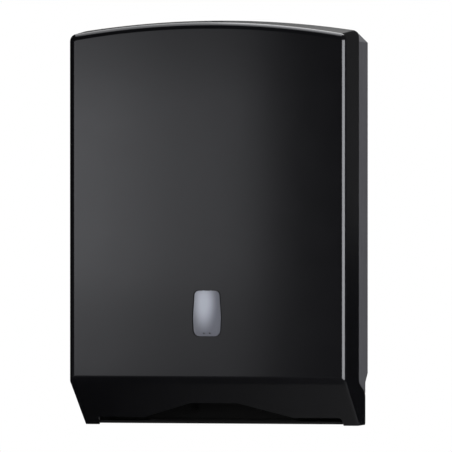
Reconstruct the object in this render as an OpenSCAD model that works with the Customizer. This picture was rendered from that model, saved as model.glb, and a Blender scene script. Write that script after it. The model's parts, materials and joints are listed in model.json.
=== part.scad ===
// Wall dispenser for folded paper towels.
// A hinged front cover closes on a rear housing that is screwed to the wall.
// x runs to the right, y runs into the wall and z runs up. Depths are measured from the wall
// towards the front, and heights from the lowest point of the cover. The origin lies on the back
// plane, in the middle of the four wall screws.

/* [Body] */
// Width of the dispenser at the parting line
body_w = 276; // [240:1:340]
// Height of the dispenser at the top of its arch
body_h = 396; // [340:1:460]
// Depth of the dispenser from the wall to the front face
body_d = 130; // [115:1:170]
// Radius of the arched top
arch_r = 780; // [500:10:1500]
// Depth of the line where the cover meets the housing
parting_d = 59; // [52:1:64]
// Gap between the cover and the housing along that line
parting_gap = 0.6; // [0.4:0.1:1.5]

/* [Cover] */
// Wall thickness of the cover
cover_wall = 2.8; // [2:0.1:3.6]
// How far each side of the cover draws in towards the front
side_draft = 2.5; // [0:0.5:5]
// How far the top of the cover drops towards the front
top_draft = 4; // [0:0.5:5]
// Radius of the front edges
edge_r = 6.2; // [4:0.1:8]
// Radius of the upper corners, seen from the front
corner_r = 7; // [5:0.5:12]
// Radius of the lower side edges
chin_edge_r = 2.5; // [2:0.5:8]
// Height of the fold between the front face and the chin
fold_h = 45; // [38:0.5:60]
// Radius of that fold
fold_r = 9.5; // [4:0.5:10]
// Depth of the lower edge of the chin
chin_d = 47; // [46:1:60]
// Depth of the rear edge of the ears that hold the hinge
ear_d = 16; // [14:0.5:18]
// Height of the ears at their rear edge
ear_h = 30.5; // [27:0.5:34]
// Height at which the cover's rear edge turns back towards the ears
ear_top_h = 42.5; // [40:0.5:50]
// Radius of the bend below the parting line
ear_bend_r = 6; // [3:0.5:8]
// Radius of the ears' upper corner
ear_top_r = 5; // [3:0.5:6]
// Radius of the ears' lower corner
ear_low_r = 3; // [1:0.5:5]

/* [Towel slot] */
// Gap between each end of the slot and the tray
slot_gap = 1.5; // [1:0.1:3]
// Height of the slot's upper edge
slot_h = 8; // [7:0.5:10]
// Radius of the slot's upper corners
slot_r = 3; // [1:0.5:3]
// Width of the finger cut-out at the slot
finger_w = 147; // [100:1:180]
// Width of the finger cut-out at its top
finger_top_w = 46; // [30:1:80]
// Height of the top of the finger cut-out
finger_h = 23; // [16:0.5:30]
// Radius of the corners of the finger cut-out
finger_r = 9; // [3:0.5:12]

/* [Housing] */
// Wall thickness of the housing
housing_wall = 2.6; // [2:0.1:3.5]
// Corner cut at the top of the housing
corner_cut = 9; // [4:0.5:14]
// Height of the lower rear corner of the housing's sides
rear_cut_h = 50; // [48:0.5:70]
// Height where the cut of that corner ends
rear_cut_end_h = 41.5; // [38:0.5:46]
// Radius where that cut begins
rear_cut_r = 5; // [2:0.5:8]
// Radius where that cut ends
rear_cut_end_r = 4; // [2:0.5:5]
// Wall thickness of the tongue that reaches into the cover
tongue_wall = 1.6; // [1.2:0.1:2.5]
// How far the tongue reaches into the cover
tongue_l = 6.5; // [4:0.5:10]
// Gap between the tongue and the inside of the cover
tongue_gap = 0.9; // [0.8:0.1:1.5]
// Height of the tongue's lower end above the bend of the cover's rear edge
tongue_low_gap = 11; // [8:0.5:20]
// Length of the thickened rim that carries the tongue
rim_l = 8; // [5:0.5:12]
// Height of the lowest edge of the housing and tray
floor_h = 1.5; // [1.5:0.5:4]
// Outer radius of the screw bosses
boss_r = 4; // [3.5:0.1:5]
// How far the screw bosses stand off the back plate
boss_l = 5.4; // [5:0.1:8]

/* [Hinge] */
// Distance of the hinge axis from the rear edge of the ears
hinge_setback = 7; // [7:0.5:9]
// Height of the hinge axis
hinge_h = 12; // [11:0.5:13]
// Radius of the hinge pins
pin_r = 3; // [2:0.1:3.5]
// Running clearance round the hinge pins
pin_clear = 0.05; // [0.02:0.01:0.1]
// Outer radius of the hinge bosses on the cover
hinge_boss_r = 6.5; // [5.5:0.1:7]
// Width of the hinge lugs on the housing
lug_w = 8.5; // [6:0.5:14]
// Half height of the hinge lugs at the pin
lug_r = 7; // [6:0.1:8]
// Radius of the hinge lugs' rounded corners
lug_corner_r = 5.6; // [3:0.1:5.8]
// Gap between each hinge lug and its boss
lug_gap = 0.7; // [0.4:0.1:1.5]
// Length of the hinge bosses on the cover
hinge_boss_l = 4; // [3:0.5:6]

/* [Tray] */
// Thickness of the tray
tray_wall = 2.5; // [2:0.1:3]
// How far the tray's lip reaches in front of the chin's lower edge
lip_reach = 4; // [1:0.5:5]
// Width of the throat in the tray's floor
throat_w = 150; // [100:1:190]
// Depth of the throat from back to front
throat_l = 26; // [18:1:27]
// Depth of the throat's front edge behind the lip
throat_inset = 10; // [8:0.5:14]
// Radius of the throat's corners
throat_r = 8; // [3:0.5:10]
// Height of the tray's rear flange and sides
tray_h = 26; // [20:0.5:32]
// Gap between the tray and the hinge lugs
tray_gap = 1; // [0.5:0.1:2]
// Number of tray screws
tray_screw_count = 4; // [2:1:4]
// Spacing of the tray screws
tray_screw_pitch = 63; // [50:1:64]

/* [Towel guides] */
// Distance of the guides from the sides of the housing
guide_inset = 11; // [9:0.5:25]
// Thickness of the guides
guide_wall = 2; // [1.5:0.1:3]
// Depth of the front edge of the guides
guide_d = 47; // [30:1:48]
// Height of the lower end of the guides
guide_low_h = 70; // [62:1:120]
// Distance of the guides' upper end from the top of the dispenser
guide_top_room = 65; // [60:1:140]
// Radius of the guides' front corners
guide_r = 12; // [4:0.5:16]
// Width of the foot of each guide
guide_foot_w = 17; // [14:0.5:20]
// Distance of the guide screws from each end of a guide
guide_screw_end = 30; // [12:1:60]

/* [Screws] */
// Shank radius of the self-tapping screws
tapping_r = 1.5; // [1.2:0.1:2]
// Head radius of the self-tapping screws
tapping_head_r = 3.2; // [2.8:0.1:4]
// Head height of the self-tapping screws
tapping_head_h = 2; // [1.5:0.1:3]
// Width of the slot in the screw heads
driver_slot_w = 0.8; // [0.5:0.1:1.2]
// Depth of the slot in the screw heads
driver_slot_d = 0.9; // [0.5:0.1:1.2]

/* [Sight window] */
// Width of the window at its middle
window_w = 27.5; // [20:0.5:40]
// Width of the window at its top
window_top_w = 24; // [18:0.5:36]
// Width of the window at its bottom
window_bottom_w = 25.5; // [18:0.5:38]
// Height of the window
window_h = 45; // [30:0.5:60]
// Height of the window's centre
window_centre_h = 110.5; // [90:0.5:160]
// Radius of the window's corners
window_r = 4.5; // [2:0.5:6]
// Gap round the window
window_gap = 0.3; // [0.2:0.05:0.6]
// How far the window lies behind the front face
window_recess = 0.4; // [0.2:0.1:1]
// Width of the flange behind the cover
window_flange = 5; // [4:0.5:8]
// Thickness of that flange
window_flange_t = 1.5; // [1:0.1:2.5]
// Radius of the pegs that hold the flange
peg_r = 1.1; // [0.8:0.1:1.3]

/* [Lock] */
// Distance of the lock's axis from the parting line
lock_setback = 26; // [24:0.5:45]
// Radius of the lock barrel
barrel_r = 8; // [7:0.1:9]
// Radius of the barrel's head
barrel_head_r = 11; // [10:0.1:12]
// Thickness of the barrel's head
barrel_head_h = 2; // [1.5:0.1:2.5]
// Length of the barrel below its head
barrel_l = 18; // [16:0.5:22]
// Depth of the head's top below the top of the cover
lock_recess = 0.8; // [0.6:0.1:1.2]
// Radius of the boss under the cover's top
lock_boss_r = 14; // [13:0.5:16]
// Height of that boss below the head
lock_boss_h = 8; // [6:0.5:10]
// Thickness of the washer under the lock nut
lock_washer_t = 0.8; // [0.5:0.1:1.5]
// Radius of that washer
lock_washer_r = 12; // [11:0.1:13]
// Height of the lock nut
lock_nut_h = 4; // [3:0.5:6]
// Width of the lock nut across its flats
lock_nut_af = 22; // [20:0.5:24]
// Radius of the key plug
plug_r = 5.5; // [5:0.1:5.8]
// Radius of the key plug's head
plug_head_r = 6.6; // [6.2:0.1:7]
// Height of the key plug's head
plug_head_h = 1.2; // [0.8:0.1:1.8]
// Running clearance round the key plug
plug_clear = 0.05; // [0.02:0.01:0.1]
// Width of the square end of the key plug
square_w = 7; // [6:0.5:7.5]
// Length of the key slot
key_slot_l = 8; // [5:0.5:9]
// Width of the key slot
key_slot_w = 1.8; // [1:0.1:2.5]
// Depth of the key slot
key_slot_d = 7; // [3:0.5:8]

/* [Hook and keeper] */
// Thickness of the hook cam
cam_t = 2.5; // [2:0.1:3.5]
// Gap between the hook cam and the barrel
cam_gap = 0.5; // [0.3:0.1:1]
// Radius of the hook cam's hub
hub_r = 9; // [8:0.5:11]
// Distance of the keeper stud from the lock's axis
stud_reach = 18; // [16:0.5:19]
// Radius of the keeper stud
stud_r = 2.5; // [2:0.1:3]
// Gap between the stud and the hook when locked
hook_gap = 0.8; // [0.4:0.1:1.2]
// Width of the hook's curved finger
hook_w = 4.2; // [3:0.1:5]
// Half angle of the hook's curved finger
hook_half_angle = 32; // [24:1:38]
// Width of the hook's arm
hook_arm_w = 6; // [4:0.5:8]
// Angle of the hook when the lock is open
hook_open_angle = 90; // [80:1:100]
// Head radius of the cam screw
cam_screw_head_r = 4.5; // [4:0.1:5]
// Head height of the cam screw
cam_screw_head_h = 2.6; // [2:0.1:3]
// Shank radius of the cam screw
cam_screw_r = 2; // [1.5:0.1:2.2]
// Length of the cam screw's shank in the plug
cam_screw_l = 7; // [5:0.5:8]
// Radius of the cam washer
cam_washer_r = 6; // [5.2:0.1:7]
// Thickness of the cam washer
cam_washer_t = 1; // [0.8:0.1:1.6]
// Thickness of the keeper bracket
bracket_t = 2; // [1.5:0.1:3]
// Width of the keeper bracket
bracket_w = 26; // [22:0.5:34]
// Height of the keeper bracket's foot
bracket_foot_h = 34; // [28:0.5:40]
// Width of the keeper bracket at its nose
bracket_nose_w = 13; // [11:0.5:18]
// Distance of the keeper bracket's nose from the stud's axis
bracket_nose = 5; // [4:0.5:7]
// Radius of the nose's corners
bracket_nose_r = 3; // [1:0.5:4]
// Gap between the keeper bracket and the lock nut's lower face
bracket_drop = 1; // [0.5:0.5:3]
// Spacing of the keeper screws
keeper_screw_pitch = 14; // [12:0.5:18]
// Distance of the keeper screws from the top of the bracket
keeper_screw_drop = 24; // [20:0.5:26]
// Length of the stud below the hook cam
stud_tail = 3; // [2:0.5:4]

/* [Wall screws] */
// Spacing of the wall screws across the dispenser
screw_span_x = 180; // [140:1:190]
// Spacing of the wall screws up the dispenser
screw_span_z = 240; // [200:1:250]
// Radius of the wall screw holes
screw_hole_r = 2.75; // [2:0.05:4]
// Height of the middle of the wall screws
screw_centre_h = 205; // [190:1:220]
// Outer radius of the pads round the wall screw holes
screw_pad_r = 8; // [6:0.5:12]
// Height of those pads over the back plate
screw_pad_l = 1.5; // [1:0.1:3]

/* [Hidden] */

$fn = 48;
// Overshoot of cutting shapes
over = 1;
// Overlap of joined shapes
lap = 0.02;
// Points round each drawn corner
corner_steps = 6;
// Points round the circle of the arched top
arch_fn = 360;

half_w = body_w / 2;
front_half_w = half_w - side_draft;

// Chin plane, from the fold at the front face down to the lower edge
chin_slope = fold_h / (body_d - chin_d);
chin_angle = atan(chin_slope);
chin_offset = cover_wall / cos(chin_angle);

// Parting edge of the housing, one gap away from the cover's rear edge
ear_slope = (ear_top_h - ear_h) / (parting_d - ear_d);
housing_d = parting_d - parting_gap;
housing_ear_h = ear_h + parting_gap * sqrt(1 + ear_slope * ear_slope);
housing_ear_top_h = housing_ear_h + ear_slope * (housing_d - ear_d);
tongue_inset = cover_wall + tongue_gap;
rim_wall = tongue_inset + tongue_wall;
tongue_low_h = ear_top_h + tongue_low_gap;

// Hinge places
hinge_d = ear_d + hinge_setback;
ear_inner_x = half_w - cover_wall;
hinge_boss_x = ear_inner_x - hinge_boss_l;
lug_outer_x = hinge_boss_x - lug_gap;
lug_inner_x = lug_outer_x - lug_w;
pin_end_x = half_w - cover_wall / 2;
lug_nose_d = hinge_d + lug_r;
lug_root_h = rear_cut_end_h;

// Tray places
tray_half_w = lug_inner_x - tray_gap;
slot_half_w = tray_half_w + slot_gap;
lip_d = chin_d + lip_reach;
tray_top_h = floor_h + tray_wall;
seat_d = housing_wall + boss_l;
tray_back_d = seat_d;
tray_flange_d = tray_back_d + tray_wall;
throat_front_d = lip_d - throat_inset;
throat_back_d = throat_front_d - throat_l;
tray_screw_h = (tray_top_h + tray_h) / 2;
tray_screw_xs = [for (i = [0:tray_screw_count - 1]) (i - (tray_screw_count - 1) / 2) * tray_screw_pitch];

// Guide places
guide_outer_x = half_w - guide_inset;
guide_inner_x = guide_outer_x - guide_wall;
guide_high_h = body_h - guide_top_room;
guide_foot_x = guide_outer_x - guide_foot_w;
guide_screw_x = (guide_foot_x + guide_inner_x) / 2;
guide_screw_hs = [guide_low_h + guide_screw_end, guide_high_h - guide_screw_end];
guide_seat_d = seat_d + guide_wall;

// Lock heights, from the cover's top down
lock_d = parting_d + lock_setback;
lock_top_h = top_at(lock_d);
head_top_h = lock_top_h - lock_recess;
head_low_h = head_top_h - barrel_head_h;
boss_low_h = head_low_h - lock_boss_h;
nut_top_h = boss_low_h - lock_washer_t;
nut_low_h = nut_top_h - lock_nut_h;
barrel_low_h = head_low_h - barrel_l;
cam_top_h = barrel_low_h - cam_gap;
cam_low_h = cam_top_h - cam_t;
washer_low_h = cam_low_h - cam_washer_t;
screw_low_h = washer_low_h - cam_screw_head_h;
hook_inner_r = stud_reach + stud_r + hook_gap;
hook_outer_r = hook_inner_r + hook_w;
hook_mid_r = (hook_inner_r + hook_outer_r) / 2;

// Keeper places
stud_d = lock_d - stud_reach;
bracket_top_h = nut_low_h - bracket_drop;
bracket_low_h = bracket_top_h - bracket_t;
bracket_nose_d = stud_d + bracket_nose;
bracket_seat_d = seat_d + bracket_t;
keeper_screw_h = bracket_top_h - keeper_screw_drop;
keeper_screw_xs = [-keeper_screw_pitch / 2, keeper_screw_pitch / 2];
stud_low_h = cam_low_h - stud_tail;

// Window places
window_back_d = body_d - cover_wall - window_flange_t;
window_half_h = window_h / 2;
peg_x = window_w / 2 + window_flange / 2;
peg_h = window_half_h - window_r;
peg_l = 2 * window_flange_t;

shell_black = "#1b1c1e";
housing_black = "#2b2c2e";
window_grey = "#a2a8b2";
inner_black = "#242528";
steel = "#b9bcc0";
brass = "#b8a070";

// Height of the cover's top in the middle, at a depth
function top_at(d) = body_h - top_draft * max(0, d - parting_d) / (body_d - parting_d);

// Height of the arch at a place across the dispenser
function arch_at(x, top, r) = top - r + sqrt(r * r - x * x);

function unit(v) = v / norm(v);

// One corner of an outline as an arc; a corner is [x, y, radius]
function corner(a, b, c) =
    let (
        at = [b.x, b.y],
        p = unit([a.x, a.y] - at),
        q = unit([c.x, c.y] - at),
        half = acos(p * q) / 2,
        centre = at + unit(p + q) * b.z / sin(half),
        from = at + p * b.z / tan(half) - centre,
        to = at + q * b.z / tan(half) - centre,
        start = atan2(from.y, from.x),
        turn = (atan2(to.y, to.x) - start + 540) % 360 - 180
    )
    [for (i = [0:corner_steps]) centre + b.z * [cos(start + turn * i / corner_steps),
                                                sin(start + turn * i / corner_steps)]];

// Outline with rounded corners from a list of [x, y, radius]
function rounded(corners) =
    let (n = len(corners))
    [for (i = [0:n - 1])
        each corners[i].z == 0
            ? [[corners[i].x, corners[i].y]]
            : corner(corners[(i + n - 1) % n], corners[i], corners[(i + 1) % n])];

// Upper right corner of the cover, from its side to its arched top
function top_corner(inset) =
    let (
        half = half_w - inset,
        in_half = half - 3 * corner_r,
        top = body_h - inset,
        r = arch_r - inset
    )
    corner([half, 0], [half, arch_at(half, top, r), corner_r - inset], [in_half, arch_at(in_half, top, r)]);

// Lower edge of the cover's inside at a depth
function inner_low(d) = (d - chin_d) * chin_slope + chin_offset;

// Shapes drawn on the front view, from one depth to another
module front(d0, d1) {
    translate([0, -d0, 0]) rotate([90, 0, 0]) linear_extrude(d1 - d0) children();
}

// Shapes drawn on the side view as [depth, height], from one x to another
module side(x0, x1) {
    translate([x1, 0, 0]) rotate([90, 0, -90]) linear_extrude(x1 - x0) children();
}

module block(x0, x1, d0, d1, h0, h1) {
    translate([x0, -d1, h0]) cube([x1 - x0, d1 - d0, h1 - h0]);
}

module rod_x(x0, x1, d, h, r) {
    translate([x0, -d, h]) rotate([0, 90, 0]) cylinder(h = x1 - x0, r = r);
}

module rod_d(x, h, d0, d1, r) {
    translate([x, -d0, h]) rotate([90, 0, 0]) cylinder(h = d1 - d0, r = r);
}

module rod_z(x, d, h0, h1, r) {
    translate([x, -d, h0]) cylinder(h = h1 - h0, r = r);
}

// Moves a piece from heights above the lowest point to heights from the wall screws
module placed() {
    translate([0, 0, -screw_centre_h]) children();
}

module both_sides() {
    children();
    mirror([1, 0, 0]) children();
}

// Self-tapping screw along the depth, with its head's seat at a depth
module tapping_screw(x, h, d, l) {
    rod_d(x, h, d - l, d, tapping_r);
    difference() {
        rod_d(x, h, d, d + tapping_head_h, tapping_head_r);
        block(x - tapping_head_r - over, x + tapping_head_r + over,
              d + tapping_head_h - driver_slot_d, d + tapping_head_h + over,
              h - driver_slot_w / 2, h + driver_slot_w / 2);
    }
}

// Boss on the back plate with a blind hole for a self-tapping screw
module screw_boss(x, h) {
    rod_d(x, h, housing_wall - lap, seat_d, boss_r);
}

module screw_boss_hole(x, h) {
    rod_d(x, h, housing_wall, seat_d + over, tapping_r);
}

// Arched outline of the housing, drawn in by an inset and open at the bottom
module housing_outline(inset) {
    chamfer_sum = half_w + arch_at(half_w, body_h, arch_r) - corner_cut - inset * sqrt(2);
    side_x = half_w - inset;
    cut_x = chamfer_sum - body_h;
    intersection() {
        translate([0, body_h - arch_r]) circle(r = arch_r - inset, $fn = arch_fn);
        polygon([[-side_x, 0], [side_x, 0], [side_x, chamfer_sum - side_x], [cut_x, body_h],
                 [-cut_x, body_h], [-side_x, chamfer_sum - side_x]]);
    }
}

// Side view of what the housing's walls keep, above the cover's ears
module housing_side() {
    polygon(rounded([[0, body_h + over, 0], [0, rear_cut_h, rear_cut_r],
                     [ear_d, rear_cut_end_h, rear_cut_end_r],
                     [ear_d, housing_ear_h, 0],
                     [housing_d, housing_ear_top_h, ear_bend_r - parting_gap],
                     [housing_d, body_h + over, 0]]));
}

module housing_walls() {
    intersection() {
        union() {
            front(0, housing_d) difference() {
                housing_outline(0);
                housing_outline(housing_wall);
            }
            front(housing_d - rim_l, housing_d) difference() {
                housing_outline(0);
                housing_outline(rim_wall);
            }
        }
        side(-half_w - over, half_w + over) housing_side();
    }
}

module housing_tongue() {
    intersection() {
        front(housing_d - rim_l / 2, housing_d + tongue_l) difference() {
            housing_outline(tongue_inset);
            housing_outline(rim_wall);
        }
        block(-half_w, half_w, 0, body_d, tongue_low_h, body_h);
    }
}

module housing_back() {
    front(0, housing_wall) union() {
        intersection() {
            housing_outline(0);
            translate([-half_w, rear_cut_h]) square([body_w, body_h]);
        }
        translate([-lug_outer_x, floor_h]) square([2 * lug_outer_x, body_h / 2]);
    }
}

module hinge_lug() {
    side(lug_inner_x, lug_outer_x)
        polygon(rounded([[0, floor_h, 0], [lug_nose_d, hinge_h - lug_r, lug_corner_r],
                         [lug_nose_d, hinge_h + lug_r, lug_corner_r], [housing_wall, lug_root_h, 0],
                         [0, lug_root_h, 0]]));
}

module wall_screw_places() {
    for (x = [-1, 1])
        for (z = [-1, 1])
            translate([x * screw_span_x / 2, 0, screw_centre_h + z * screw_span_z / 2]) children();
}

module housing_boss_places() {
    for (x = tray_screw_xs) translate([x, 0, tray_screw_h]) children();
    for (x = [-guide_screw_x, guide_screw_x])
        for (h = guide_screw_hs)
            translate([x, 0, h]) children();
    for (x = keeper_screw_xs) translate([x, 0, keeper_screw_h]) children();
}

module rear_housing() {
    color(housing_black) placed() difference() {
        union() {
            housing_back();
            housing_walls();
            housing_tongue();
            both_sides() hinge_lug();
            housing_boss_places() screw_boss(0, 0);
            wall_screw_places() rod_d(0, 0, 0, housing_wall + screw_pad_l, screw_pad_r);
        }
        housing_boss_places() screw_boss_hole(0, 0);
        wall_screw_places() rod_d(0, 0, -over, housing_wall + screw_pad_l + over, screw_hole_r);
        both_sides() rod_x(lug_inner_x - over, lug_outer_x + over, hinge_d, hinge_h, pin_r);
    }
}

module dispensing_tray() {
    color(inner_black) placed() difference() {
        union() {
            block(-tray_half_w, tray_half_w, tray_back_d, lip_d, floor_h, tray_top_h);
            block(-tray_half_w, tray_half_w, tray_back_d, tray_flange_d, floor_h, tray_h);
            both_sides()
                side(tray_half_w - tray_wall, tray_half_w)
                    polygon([[tray_back_d, floor_h], [lip_d - tray_wall, floor_h],
                             [lip_d - tray_wall, tray_top_h], [lug_nose_d, tray_h],
                             [tray_back_d, tray_h]]);
        }
        translate([0, 0, floor_h - over]) linear_extrude(tray_wall + 2 * over)
            polygon(rounded([[-throat_w / 2, -throat_back_d, throat_r],
                             [throat_w / 2, -throat_back_d, throat_r],
                             [throat_w / 2, -throat_front_d, throat_r],
                             [-throat_w / 2, -throat_front_d, throat_r]]));
        for (x = tray_screw_xs)
            rod_d(x, tray_screw_h, tray_back_d - over, tray_flange_d + over, tapping_r);
    }
}

module tray_screws() {
    color(steel) placed()
        for (x = tray_screw_xs)
            tapping_screw(x, tray_screw_h, tray_flange_d, tray_wall + boss_l);
}

// Towel guide on the right: a foot on the bosses and an upright plate
module towel_guide() {
    difference() {
        union() {
            block(guide_foot_x, guide_outer_x, seat_d, guide_seat_d, guide_low_h, guide_high_h);
            side(guide_inner_x, guide_outer_x)
                polygon(rounded([[seat_d, guide_low_h, 0], [guide_d, guide_low_h, guide_r],
                                 [guide_d, guide_high_h, guide_r], [seat_d, guide_high_h, 0]]));
        }
        for (h = guide_screw_hs)
            rod_d(guide_screw_x, h, seat_d - over, guide_seat_d + over, tapping_r);
    }
}

module right_towel_guide() {
    color(inner_black) placed() towel_guide();
}

module left_towel_guide() {
    color(inner_black) placed() mirror([1, 0, 0]) towel_guide();
}

module guide_screws() {
    color(steel) placed()
        for (x = [-guide_screw_x, guide_screw_x])
            for (h = guide_screw_hs)
                tapping_screw(x, h, guide_seat_d, guide_wall + boss_l);
}

module hinge_pin() {
    rod_x(lug_inner_x, pin_end_x - lug_gap, hinge_d, hinge_h, pin_r);
}

module right_hinge_pin() {
    color(steel) placed() hinge_pin();
}

module left_hinge_pin() {
    color(steel) placed() mirror([1, 0, 0]) hinge_pin();
}

module keeper_bracket() {
    color(steel) placed() difference() {
        union() {
            block(-bracket_w / 2, bracket_w / 2, seat_d, bracket_seat_d,
                  bracket_top_h - bracket_foot_h, bracket_top_h);
            translate([0, 0, bracket_low_h]) linear_extrude(bracket_t)
                polygon(rounded([[-bracket_w / 2, -seat_d, 0], [bracket_w / 2, -seat_d, 0],
                                 [bracket_nose_w / 2, -bracket_nose_d, bracket_nose_r],
                                 [-bracket_nose_w / 2, -bracket_nose_d, bracket_nose_r]]));
        }
        rod_z(0, stud_d, bracket_low_h - over, bracket_top_h + over, stud_r);
        for (x = keeper_screw_xs)
            rod_d(x, keeper_screw_h, seat_d - over, bracket_seat_d + over, tapping_r);
    }
}

module keeper_stud() {
    color(steel) placed() rod_z(0, stud_d, stud_low_h, bracket_top_h, stud_r);
}

module keeper_screws() {
    color(steel) placed()
        for (x = keeper_screw_xs)
            tapping_screw(x, keeper_screw_h, bracket_seat_d, bracket_t + boss_l);
}

// Plan of the cover, drawn in by an inset, with its sides drafted and its front edges rounded
module cover_plan(inset) {
    back_d = ear_d - over - inset;
    front_d = body_d - inset;
    edge = edge_r - inset;
    translate([0, 0, -over]) linear_extrude(body_h + 2 * over)
        polygon(rounded([[half_w - inset, -back_d, 0], [-half_w + inset, -back_d, 0],
                         [-half_w + inset, -parting_d, 0], [-front_half_w + inset, -front_d, edge],
                         [front_half_w - inset, -front_d, edge], [half_w - inset, -parting_d, 0]]));
}

// Disc whose rim is the arched top, drawn in by an inset, with its front edge rounded
module arched_disc(inset) {
    rim_r = arch_r - inset;
    nose_r = rim_r - top_draft;
    front_d = body_d - inset;
    edge = edge_r - inset;
    translate([0, 0, body_h - arch_r]) rotate([90, 0, 0]) rotate_extrude($fn = arch_fn)
        polygon(concat([[0, 0], [rim_r, 0], [rim_r, parting_d]],
                       corner([rim_r, parting_d], [nose_r, front_d, edge], [0, front_d]),
                       [[nose_r - edge, body_d + over], [0, body_d + over]]));
}

// Front view of all but the upper corners of the cover
module corner_trim(inset) {
    right = top_corner(inset);
    last = len(right) - 1;
    wide = half_w + over;
    polygon(concat([[-wide, -over], [wide, -over], [wide, right[0].y]], right,
                   [[right[last].x, body_h + over], [-right[last].x, body_h + over]],
                   [for (i = [last:-1:0]) [-right[i].x, right[i].y]], [[-wide, right[0].y]]));
}

// Side view of the cover, with the chin in front and the ears at the lower back
module cover_side() {
    fold = corner([chin_d, 0], [body_d, fold_h, fold_r], [body_d, body_h]);
    polygon(concat(rounded([[parting_d, body_h + over, 0], [parting_d, ear_top_h, ear_bend_r],
                            [ear_d, ear_h, ear_top_r], [ear_d, 0, ear_low_r], [chin_d, 0, 0]]),
                   fold, [[body_d + over, fold[len(fold) - 1].y], [body_d + over, body_h + over]]));
}

// Prism along the chin that rounds its side edges
module chin_trim() {
    wide = half_w + over;
    right = corner([0, 0], [half_w, 0, chin_edge_r], [half_w, body_h]);
    last = len(right) - 1;
    tall = body_h + body_d;
    translate([0, -chin_d, 0]) rotate([90 - chin_angle, 0, 0]) translate([0, 0, -tall])
        linear_extrude(2 * tall)
            polygon(concat(right, [[wide, right[last].y], [wide, tall], [-wide, tall],
                                   [-wide, right[last].y]],
                           [for (i = [last:-1:0]) [-right[i].x, right[i].y]]));
}

module outer_skin() {
    intersection() {
        cover_plan(0);
        arched_disc(0);
        front(0, body_d + over) corner_trim(0);
        side(-half_w - over, half_w + over) cover_side();
        chin_trim();
    }
}

// Inside of the cover, one wall in from the outside and open at the back and bottom
module inner_skin() {
    sill_d = chin_d - (over + chin_offset) / chin_slope;
    back_d = ear_d - 2 * over;
    far_d = body_d + over;
    intersection() {
        cover_plan(cover_wall);
        arched_disc(cover_wall);
        front(0, far_d) corner_trim(cover_wall);
        side(-half_w, half_w)
            polygon([[back_d, -over], [sill_d, -over], [far_d, inner_low(far_d)],
                     [far_d, body_h], [back_d, body_h]]);
    }
}

// Front view of the slot in the chin, with the finger cut-out
module slot_outline() {
    polygon(rounded([[-slot_half_w, -over, 0], [slot_half_w, -over, 0], [slot_half_w, slot_h, slot_r],
                     [finger_w / 2, slot_h, finger_r], [finger_top_w / 2, finger_h, finger_r],
                     [-finger_top_w / 2, finger_h, finger_r], [-finger_w / 2, slot_h, finger_r],
                     [-slot_half_w, slot_h, slot_r]]));
}

// Front view of the window, grown by a margin
module window_outline(grow) {
    translate([0, window_centre_h])
        polygon(rounded([[window_bottom_w / 2 + grow, -window_half_h - grow, window_r + grow],
                         [window_w / 2 + grow, 0, window_h],
                         [window_top_w / 2 + grow, window_half_h + grow, window_r + grow],
                         [-window_top_w / 2 - grow, window_half_h + grow, window_r + grow],
                         [-window_w / 2 - grow, 0, window_h],
                         [-window_bottom_w / 2 - grow, -window_half_h - grow, window_r + grow]]));
}

module window_peg_places() {
    for (x = [-peg_x, peg_x])
        for (h = [-peg_h, peg_h])
            translate([x, 0, window_centre_h + h]) children();
}

module front_cover() {
    color(shell_black) placed() difference() {
        union() {
            difference() {
                outer_skin();
                inner_skin();
            }
            both_sides() rod_x(hinge_boss_x, ear_inner_x + cover_wall / 2, hinge_d, hinge_h, hinge_boss_r);
            rod_z(0, lock_d, boss_low_h, lock_top_h - cover_wall / 2, lock_boss_r);
            window_peg_places()
                rod_d(0, 0, body_d - cover_wall - peg_l, body_d - cover_wall / 2, peg_r);
        }
        both_sides() rod_x(hinge_boss_x - over, pin_end_x, hinge_d, hinge_h, pin_r + pin_clear);
        front(0, body_d + over) slot_outline();
        front(body_d - 2 * cover_wall, body_d + over) window_outline(window_gap);
        rod_z(0, lock_d, head_low_h, body_h + over, barrel_head_r + plug_clear);
        rod_z(0, lock_d, boss_low_h - over, body_h + over, barrel_r);
    }
}

module sight_window() {
    color(window_grey) placed() difference() {
        union() {
            front(window_back_d, body_d - window_recess) window_outline(0);
            front(window_back_d, body_d - cover_wall) window_outline(window_flange);
        }
        window_peg_places() rod_d(0, 0, 0, body_d - cover_wall + lap, peg_r);
    }
}

module lock_barrel() {
    plug_bore_r = plug_r + plug_clear;
    color(steel) placed() difference() {
        union() {
            rod_z(0, lock_d, barrel_low_h, head_low_h + lap, barrel_r);
            rod_z(0, lock_d, head_low_h, head_top_h, barrel_head_r);
        }
        rod_z(0, lock_d, barrel_low_h - over, head_top_h + over, plug_bore_r);
        rod_z(0, lock_d, head_top_h - plug_head_h - plug_clear, head_top_h + over,
              plug_head_r + plug_clear);
    }
}

module lock_washer() {
    color(steel) placed() difference() {
        rod_z(0, lock_d, nut_top_h, boss_low_h, lock_washer_r);
        rod_z(0, lock_d, nut_top_h - over, boss_low_h + over, barrel_r);
    }
}

module lock_nut() {
    color(steel) placed() difference() {
        translate([0, -lock_d, nut_low_h])
            cylinder(h = lock_nut_h, r = lock_nut_af / sqrt(3), $fn = 6);
        rod_z(0, lock_d, nut_low_h - over, nut_top_h + over, barrel_r);
    }
}

module key_plug() {
    half = square_w / 2;
    color(brass) placed() difference() {
        union() {
            rod_z(0, lock_d, cam_top_h, head_top_h - lap, plug_r);
            rod_z(0, lock_d, head_top_h - plug_head_h, head_top_h, plug_head_r);
            block(-half, half, lock_d - half, lock_d + half, cam_low_h, cam_top_h + lap);
        }
        block(-key_slot_w / 2, key_slot_w / 2, lock_d - key_slot_l / 2, lock_d + key_slot_l / 2,
              head_top_h - key_slot_d, head_top_h + over);
        rod_z(0, lock_d, cam_low_h - over, cam_low_h + cam_screw_l, cam_screw_r);
    }
}

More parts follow.
